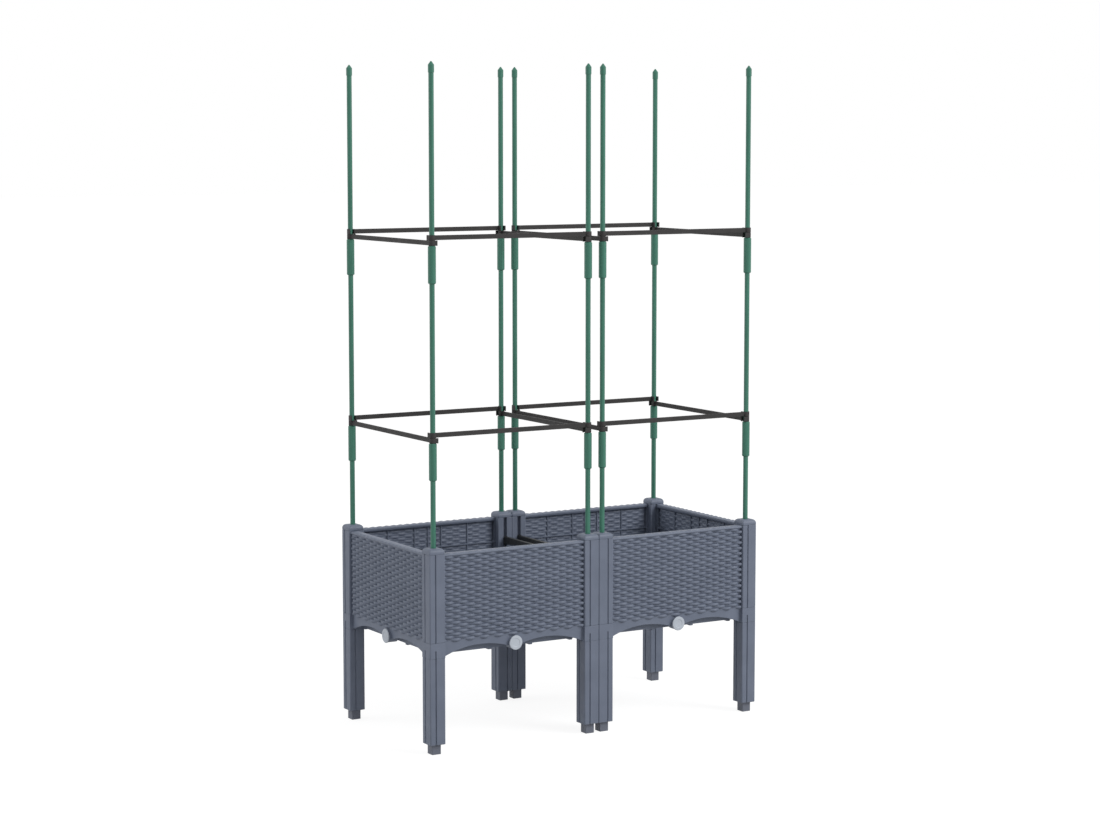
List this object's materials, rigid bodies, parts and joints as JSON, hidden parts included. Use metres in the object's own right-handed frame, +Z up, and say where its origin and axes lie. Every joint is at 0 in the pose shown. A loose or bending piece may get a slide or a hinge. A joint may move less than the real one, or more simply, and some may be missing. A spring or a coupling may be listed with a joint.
{
  "type": "raised planter",
  "caption": "Raised garden planter of joined square boxes on tall legs, with woven-look walls, drain plugs and a pole trellis with sliding clip-on frames.",
  "frame": {"origin": "on the floor below the middle of the footprint", "axes": "+X along the long side towards box B, +Y from the front to the back, +Z up"},
  "size_m": [0.8, 0.4, 1.3963],
  "materials": {
    "planter_grey": "moulded blue-grey plastic, fine satin grain",
    "plug_grey": "light grey moulded plastic",
    "pole_green": "dark green plastic coat, semi-gloss",
    "trellis_charcoal": "charcoal moulded plastic",
    "tie_black": "black moulded plastic"
  },
  "bodies": {
    "planter": {"tray_a": "planter_grey", "tray_b": "planter_grey", "leg_a_front_left": "planter_grey", "leg_a_front_right": "planter_grey", "leg_a_back_right": "planter_grey", "leg_a_back_left": "planter_grey", "leg_b_front_left": "planter_grey", "leg_b_front_right": "planter_grey", "leg_b_back_right": "planter_grey", "leg_b_back_left": "planter_grey", "post_a_front_left": "planter_grey", "post_a_front_right": "planter_grey", "post_a_back_right": "planter_grey", "post_a_back_left": "planter_grey", "post_b_front_left": "planter_grey", "post_b_front_right": "planter_grey", "post_b_back_right": "planter_grey", "post_b_back_left": "planter_grey", "panel_a_front": "planter_grey", "panel_a_back": "planter_grey", "panel_a_left": "planter_grey", "panel_b_front": "planter_grey", "panel_b_back": "planter_grey", "panel_b_right": "planter_grey", "cross_tie_a": "tie_black", "cross_tie_b": "tie_black", "post_caps": "planter_grey", "lower_poles": "pole_green", "middle_poles": "pole_green", "upper_poles": "pole_green", "lower_sleeves": "pole_green", "upper_sleeves": "pole_green", "pole_tips": "pole_green"},
    "trellis_frame_a_lower": {"bar_a_lower_front": "trellis_charcoal", "bar_a_lower_back": "trellis_charcoal", "bar_a_lower_left": "trellis_charcoal", "bar_a_lower_right": "trellis_charcoal"},
    "trellis_frame_a_upper": {"bar_a_upper_front": "trellis_charcoal", "bar_a_upper_back": "trellis_charcoal", "bar_a_upper_left": "trellis_charcoal", "bar_a_upper_right": "trellis_charcoal"},
    "trellis_frame_b_lower": {"bar_b_lower_front": "trellis_charcoal", "bar_b_lower_back": "trellis_charcoal", "bar_b_lower_left": "trellis_charcoal", "bar_b_lower_right": "trellis_charcoal"},
    "trellis_frame_b_upper": {"bar_b_upper_front": "trellis_charcoal", "bar_b_upper_back": "trellis_charcoal", "bar_b_upper_left": "trellis_charcoal", "bar_b_upper_right": "trellis_charcoal"},
    "plug_a_front": {"drain_plug_a_front": "plug_grey"},
    "plug_a_back": {"drain_plug_a_back": "plug_grey"},
    "plug_a_left": {"drain_plug_a_left": "plug_grey"},
    "plug_b_front": {"drain_plug_b_front": "plug_grey"},
    "plug_b_back": {"drain_plug_b_back": "plug_grey"},
    "plug_b_right": {"drain_plug_b_right": "plug_grey"}
  },
  "joints": [
    {"name": "frame_a_lower_slide", "type": "slide", "parent": "planter", "child": "trellis_frame_a_lower", "axis": [0, 0, 1], "range_m": [0, 0.297]},
    {"name": "frame_a_upper_slide", "type": "slide", "parent": "planter", "child": "trellis_frame_a_upper", "axis": [0, 0, 1], "range_m": [0, 0.32]},
    {"name": "frame_b_lower_slide", "type": "slide", "parent": "planter", "child": "trellis_frame_b_lower", "axis": [0, 0, 1], "range_m": [0, 0.297]},
    {"name": "frame_b_upper_slide", "type": "slide", "parent": "planter", "child": "trellis_frame_b_upper", "axis": [0, 0, 1], "range_m": [0, 0.32]},
    {"name": "plug_a_front_pull", "type": "slide", "parent": "planter", "child": "plug_a_front", "axis": [0, -1, 0], "range_m": [0, 0.03]},
    {"name": "plug_a_back_pull", "type": "slide", "parent": "planter", "child": "plug_a_back", "axis": [0, 1, 0], "range_m": [0, 0.03]},
    {"name": "plug_a_left_pull", "type": "slide", "parent": "planter", "child": "plug_a_left", "axis": [-1, 0, 0], "range_m": [0, 0.03]},
    {"name": "plug_b_front_pull", "type": "slide", "parent": "planter", "child": "plug_b_front", "axis": [0, -1, 0], "range_m": [0, 0.03]},
    {"name": "plug_b_back_pull", "type": "slide", "parent": "planter", "child": "plug_b_back", "axis": [0, 1, 0], "range_m": [0, 0.03]},
    {"name": "plug_b_right_pull", "type": "slide", "parent": "planter", "child": "plug_b_right", "axis": [1, 0, 0], "range_m": [0, 0.03]}
  ]
}
